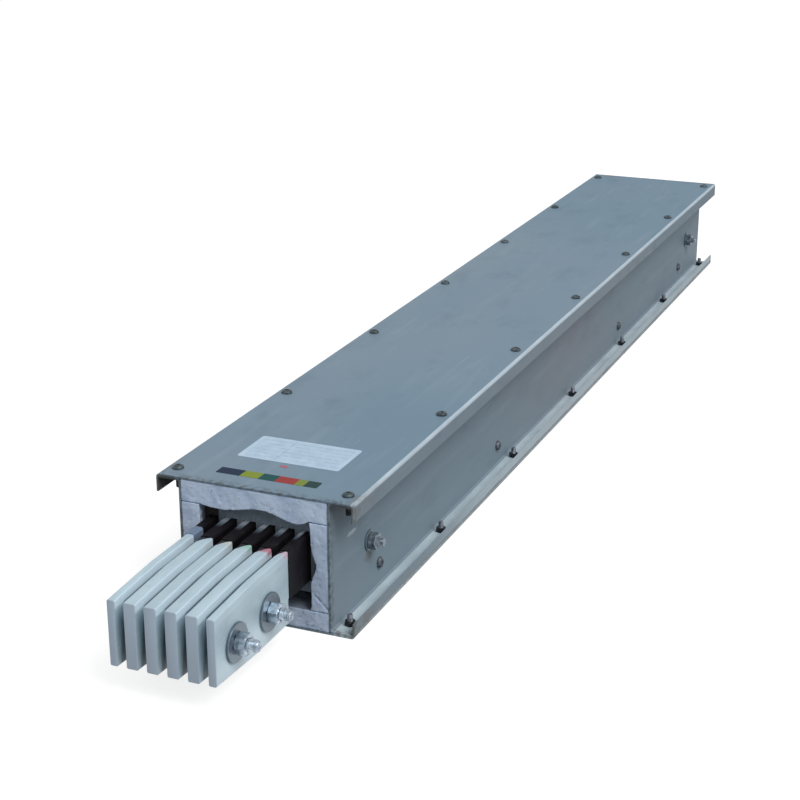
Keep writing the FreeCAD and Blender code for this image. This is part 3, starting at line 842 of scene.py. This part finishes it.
jointBolt = {"thread": 12.0, "pitch": 1.75, "headWidth": 19.0, "headHeight": 7.5, "nutWidth": 19.0,
             "nutHeight": 10.8, "beyondNut": 10.0, "washerWidth": 38.0, "washerBore": 13.0,
             "washerThickness": 3.0, "stackHalf": 54.5, "height": 56.5, "inset": 37.0,
             "spacing": 65.0, "spin": 0.8}


def jointBoltMesh(size, name):
    # Bolt, two broad washers and nut along Z, the middle of the bars at Z = 0, thread end up.
    thickness, nutHeight, headHeight = size["washerThickness"], size["nutHeight"], size["headHeight"]
    clamp = size["stackHalf"] + thickness
    shape = bmesh.new()
    for foot in (size["stackHalf"], -clamp):
        revolve(shape, washerOutline(size["washerBore"], size["washerWidth"], thickness, 0.5, foot),
                64, True)
    addThread(shape, size, -clamp, clamp + nutHeight + size["beyondNut"], 28, 7)
    addNut(shape, size["nutWidth"], nutHeight, size["thread"] / 2 * 0.985, 48, 1.5, clamp)
    # the head has a nut's outline, filled by a round core that is slightly sunk
    head = bmesh.new()
    addNut(head, size["headWidth"], headHeight, size["thread"] / 4, 48, 1.5)
    core, coreTop, coreFoot = size["thread"] * 0.29, headHeight - 0.3, 0.4
    revolve(head, [(0, coreTop), (core, coreTop), (core, coreFoot), (0, coreFoot)], 48)
    turnDown(head, -clamp)
    join(shape, head)
    return meshFrom(shape, name, 30, mm)


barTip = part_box("busbar_6")[0].y
jointStations = (barTip + jointBolt["inset"] * mm,
                 barTip + (jointBolt["inset"] + jointBolt["spacing"]) * mm)
setFasteners("jointBoltSet", jointBoltMesh(jointBolt, "jointBoltMaster"),
             [((0, station, jointBolt["height"] * mm), (1, 0, 0)) for station in jointStations],
             "zincPlate", ["joint_bolts", "joint_washers", "joint_nuts"], 4,
             jointBolt["spin"])
print("fasteners set")


# Bars with eased edges, copied from the solids so that each keeps its own shape

barEdge = {"width": 0.6 * mm, "segments": 3, "limit_method": "ANGLE", "angle_limit": math.radians(30),
           "use_clamp_overlap": True}
for number in range(1, barCount + 1):
    nodeName = "busbar_" + str(number)
    shape = mergedCopy(nodeName)
    bmesh.ops.dissolve_limit(shape, angle_limit=0.01, verts=shape.verts, edges=shape.edges)
    mesh = smoothed(changed(plainMesh(shape, "barPlain"), "BEVEL", barEdge), 50)
    finish = makeBarFinish("tinPlate" + str(number), *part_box(nodeName), number < barCount,
                           *barRoots[number - 1])
    pieceFrom("bar" + str(number), mesh, finish, [nodeName])
print("bars eased")


# Boards with crumbled ends, from the solids; the crack runs in the right board's lower corner

crumble = {
    "slab": 24.0, "voxel": 1.15, "farVoxel": 2.2, "depth": 0.9, "pitDepth": 1.3,
    "crackFrom": (61.2, 42.9), "crackTo": (79.7, 24.9), "crackWidth": 0.9, "crackDepth": 2.4,
    "crackWander": 0.9,
}


def boardPart(nodeName, low, high):
    # The stretch of a board between two stations, closed at its cuts.
    shape = mergedCopy(nodeName)
    for station, keep in ((low, 1), (high, -1)):
        if station is None:
            continue
        geometry = shape.verts[:] + shape.edges[:] + shape.faces[:]
        cut = bmesh.ops.bisect_plane(shape, geom=geometry, dist=1e-6, plane_co=(0, station, 0),
                                     plane_no=(0, -keep, 0), clear_outer=True)
        rim = [e for e in cut["geom_cut"] if isinstance(e, bmesh.types.BMEdge)]
        bmesh.ops.holes_fill(shape, edges=rim, sides=0)
    bmesh.ops.recalc_face_normals(shape, faces=shape.faces)
    return shape


def crackDepth(place, start, finish):
    # How deep the crack is at a place on the board's end.
    along = finish - start
    flat = Vector((place.x, 0, place.z))
    share = min(1.0, max(0.0, (flat - start).dot(along) / along.length_squared))
    wander = crumble["crackWander"] * mm * noise.noise(place * 160)
    away = (flat - (start + along * share)).length + wander
    return crumble["crackDepth"] * max(0.0, 1 - abs(away) / (crumble["crackWidth"] * mm))


def crumbled(shape, voxel, end, inward):
    # Fine even faces, then worn back by noise that fades towards the cut.
    worn = bmesh.new()
    worn.from_mesh(changed(plainMesh(shape, "boardPlain"), "REMESH",
                           {"mode": "VOXEL", "voxel_size": voxel * mm}))
    worn.normal_update()
    crack = [Vector((x * mm, 0, z * mm)) for x, z in (crumble["crackFrom"], crumble["crackTo"])]
    moves = []
    for vertex in worn.verts:
        place = vertex.co
        depth = (place.y - end) * inward
        fade = max(0.0, 1 - depth / (crumble["slab"] * mm * 0.85))
        broad = noise.fractal(place * 90, 1.0, 2.0, 4)
        fine = noise.noise(place * 420)
        pit = max(0.0, noise.noise(place * 210 + Vector((5, 5, 5))) - 0.35)
        back = crumble["depth"] * (0.45 + 0.45 * broad + 0.18 * fine) + crumble["pitDepth"] * pit
        if inward > 0:
            back += crackDepth(place, *crack)
        moves.append(vertex.normal * (-max(0.0, back) * fade * mm))
    for vertex, move in zip(worn.verts, moves):
        vertex.co += move
        vertex.co.y = max(nearEnd, min(farEnd, vertex.co.y))
    return worn


nearCut = nearEnd + crumble["slab"] * mm
farCut = farEnd - crumble["slab"] * mm
for side in ("top", "bottom", "left", "right"):
    nodeName = "lining_" + side
    whole = boardPart(nodeName, nearCut, farCut)
    join(whole, crumbled(boardPart(nodeName, None, nearCut), crumble["voxel"], nearEnd, 1))
    join(whole, crumbled(boardPart(nodeName, farCut, None), crumble["farVoxel"], farEnd, -1))
    pieceFrom(side + "Board", smoothed(plainMesh(whole, "board"), 48), finishes["board"],
              [nodeName])
print("boards crumbled")


# Bare label, colour strip and red tab on the cover, their places in millimetres from the near end

def layPlate(name, size, material):
    # Thin sheet with round corners, lying on the cover.
    shape = bmesh.new()
    (left, near), (right, far), corner = size["low"], size["high"], size["corner"]
    lower, upper = [], []
    for cx, cy, start in ((right - corner, far - corner, 0), (left + corner, far - corner, 90),
                          (left + corner, near + corner, 180), (right - corner, near + corner, 270)):
        for i in range(5):
            angle = math.radians(start + 22.5 * i)
            x, y = cx + corner * math.cos(angle), cy + corner * math.sin(angle)
            lower.append(shape.verts.new((x * mm, nearEnd + y * mm, coverTop)))
            upper.append(shape.verts.new((x * mm, nearEnd + y * mm, coverTop + size["thickness"] * mm)))
    bridge(shape, [lower, upper], capped=True)
    pieceFrom(name, meshFrom(shape, name, 30), material)


def sharesOf(finish, size):
    # How far a point lies across and along a plate, from 0 to 1.
    x, y = finish.coordinates()[:2]
    (left, near), (right, far) = size["low"], size["high"]
    return (x - left * mm) / ((right - left) * mm), (y - nearEnd - near * mm) / ((far - near) * mm)


label = {"low": (-55.0, 72.0), "high": (58.0, 132.0), "thickness": 0.35, "corner": 3.0,
         "colour": tone(158, 186, 210), "lineColour": tone(104, 128, 156), "rows": 7,
         "paleColour": tone(190, 214, 232), "column": 0.36}


def makeLabelFinish(name):
    # Pale foil with empty ruled rows, rubbed and slightly cloudy.
    finish = Finish(name, label, "colour", 0.5)
    across, up = sharesOf(finish, label)
    cloud = finish.grain(0.014, 4.0, (1, 1, 1), (1, 2, 0), 0.65)
    finish.lay(cloud.rise(0.3, 0.8) * 0.7, "paleColour")
    inside = across.rise(0.04, 0.045) * across.rise(0.96, 0.955) * up.rise(0.06, 0.07) * up.rise(0.94, 0.93)
    ruled = abs((up * label["rows"]).fraction() - 0.5).rise(0.43, 0.46)
    column = abs(across - label["column"]).rise(0.007, 0.005)
    rubbed = finish.grain(0.004, 3.0, (1, 1, 1), (4, 4, 0), 0.7).rise(0.36, 0.6)
    finish.lay(ruled.larger(column) * inside * rubbed * 0.65, "lineColour")
    finish.lay((1.0 - inside) * 0.25, "paleColour")
    return finish.done(0.3 + cloud * 0.2, finish.bump(cloud, 0.0002, 0.4), 0.1)


strip = {
    "low": (-53.5, 25.0), "high": (56.4, 39.5), "thickness": 0.25, "corner": 1.2,
    "stops": [(-53.5, tone(34, 48, 70)), (-27.0, tone(128, 144, 56)), (-7.5, tone(34, 80, 80)),
              (10.8, tone(150, 62, 62)), (32.2, tone(120, 138, 64)), (41.9, tone(42, 66, 66))],
    "rubbedColour": tone(110, 130, 138), "waver": 0.002,
}


def makeStripFinish(name):
    # Phase colours side by side, printed on thin film, with rubbed specks.
    left, length = strip["low"][0], strip["high"][0] - strip["low"][0]
    finish = Finish(name, strip, "rubbedColour", 0.1)
    waver = (finish.grain(0.005, 2.0) - 0.5) * (strip["waver"] / (length * mm))
    stops = [((start - left) / length, colour) for start, colour in strip["stops"]]
    fields = {"Fac": sharesOf(finish, strip)[0] + waver}
    finish.colour = finish.node("ShaderNodeValToRGB", {"stops": stops}, fields)
    rubbed = finish.grain(0.0025, 4.0, (1, 1, 1), (2, 2, 2), 0.7)
    finish.lay(rubbed.rise(0.6, 0.8) * 0.2, "rubbedColour")
    return finish.done(0.55 + rubbed * 0.2, finish.bump(rubbed, 0.0001, 0.4))


redTab = {"low": (-1.5, 61.5), "high": (7.0, 65.0), "thickness": 0.2, "corner": 0.8,
          "colour": tone(180, 62, 84), "wornColour": tone(150, 108, 128)}


def makeTabFinish(name):
    finish = Finish(name, redTab, "colour", 0.4)
    worn = finish.grain(0.003, 3.0)
    finish.lay(worn.rise(0.4, 0.7) * 0.5, "wornColour")
    return finish.done(0.5, finish.bump(worn, 0.0001, 0.4))


layPlate("labelPlate", label, makeLabelFinish("bareLabel"))
layPlate("colourStrip", strip, makeStripFinish("phaseColours"))
layPlate("redTab", redTab, makeTabFinish("redTabPrint"))
print("label, strip and tab laid")


# Stage, light and camera

stage = {"floorSize": 60.0, "floorShade": 0.26, "shownGlow": 0.80, "shownShade": 0.36,
         "skyLight": 0.46, "keyPower": 400.0, "keyPlace": (4.54, -2.41, 6.13), "keySize": 4.5,
         "keyAim": (0, 0, 0.07)}


def shownRays(maker):
    # 1 for the rays that show the pale background: camera, glossy and transmission rays.
    path = maker.node("ShaderNodeLightPath").socket.node
    eye, gloss, through = [Wire(maker, path.outputs["Is " + kind + " Ray"])
                           for kind in ("Camera", "Glossy", "Transmission")]
    return eye.larger(gloss).larger(through)


def emptyMaker(holder):
    # The maker of a material's or world's tree, cleared but for its output.
    holder.use_nodes = True
    maker = Maker(holder.node_tree)
    for node in list(maker.tree.nodes):
        if not node.type.startswith("OUTPUT"):
            maker.tree.nodes.remove(node)
    return maker, maker.tree.nodes[0].inputs["Surface"]


floorMaterial = bpy.data.materials.new("paleFloor")
maker, surface = emptyMaker(floorMaterial)
dull, shown = [maker.node("ShaderNodeBsdfDiffuse", None, {"Color": (shade, shade, shade, 1)})
               for shade in (stage["floorShade"], stage["shownShade"])]
glow = maker.node("ShaderNodeEmission", None, {"Color": (1, 1, 1, 1), "Strength": stage["shownGlow"]})
lit = maker.node("ShaderNodeAddShader", None, {0: shown, 1: glow})
maker.feed(surface, maker.node("ShaderNodeMixShader", None, {0: shownRays(maker), 1: dull, 2: lit}))
half = stage["floorSize"] / 2
floorMesh = bpy.data.meshes.new("floor")
floorMesh.from_pydata([(-half, -half, 0), (half, -half, 0), (half, half, 0), (-half, half, 0)], [],
                      [(0, 1, 2, 3)])
floorMesh.materials.append(floorMaterial)
floor = holderOf(floorMesh, "floor")

world = bpy.data.worlds.new("studio")
bpy.context.scene.world = world
maker, surface = emptyMaker(world)
strength = stage["skyLight"] + shownRays(maker) * (1.0 - stage["skyLight"])
maker.feed(surface, maker.node("ShaderNodeBackground", None,
                               {"Color": (1, 1, 1, 1), "Strength": strength}))

keyData = bpy.data.lights.new("softBox", "AREA")
keyData.shape = "SQUARE"
keyData.size = stage["keySize"]
keyData.energy = stage["keyPower"]
keyLight = holderOf(keyData, "softBox")
keyLight.location = stage["keyPlace"]
keyLight.rotation_mode = "QUATERNION"
aim = Vector(stage["keyAim"]) - Vector(stage["keyPlace"])
keyLight.rotation_quaternion = aim.to_track_quat("-Z", "Y")

view = {"azimuth": 22.9031, "elevation": 19.7404, "roll": -0.1399, "lens": 76.237, "sensor": 36.0,
        "distance": 2.26474, "across": -0.129612, "up": -0.056477, "target": (0.0, 0.0395, 0.060)}
azimuth, elevation, roll = (math.radians(view[key]) for key in ("azimuth", "elevation", "roll"))
back = Vector((math.sin(azimuth) * math.cos(elevation), -math.cos(azimuth) * math.cos(elevation),
               math.sin(elevation)))
levelRight = Vector((math.cos(azimuth), math.sin(azimuth), 0))
levelUp = back.cross(levelRight)
right = levelRight * math.cos(roll) + levelUp * math.sin(roll)
up = levelUp * math.cos(roll) - levelRight * math.sin(roll)
cameraData = bpy.data.cameras.new("camera")
cameraData.sensor_width = view["sensor"]
cameraData.lens = view["lens"]
cameraData.clip_start = 0.05
cameraData.clip_end = 60.0
camera = holderOf(cameraData, "camera")
place = (Vector(view["target"]) + right * view["across"] + up * view["up"]
         + back * view["distance"])
axes = Matrix((right, up, back)).transposed().to_4x4()
camera.matrix_world = Matrix.Translation(place) @ axes
bpy.context.scene.camera = camera
bpy.context.scene.view_settings.view_transform = "Standard"
print("stage, light and camera set")
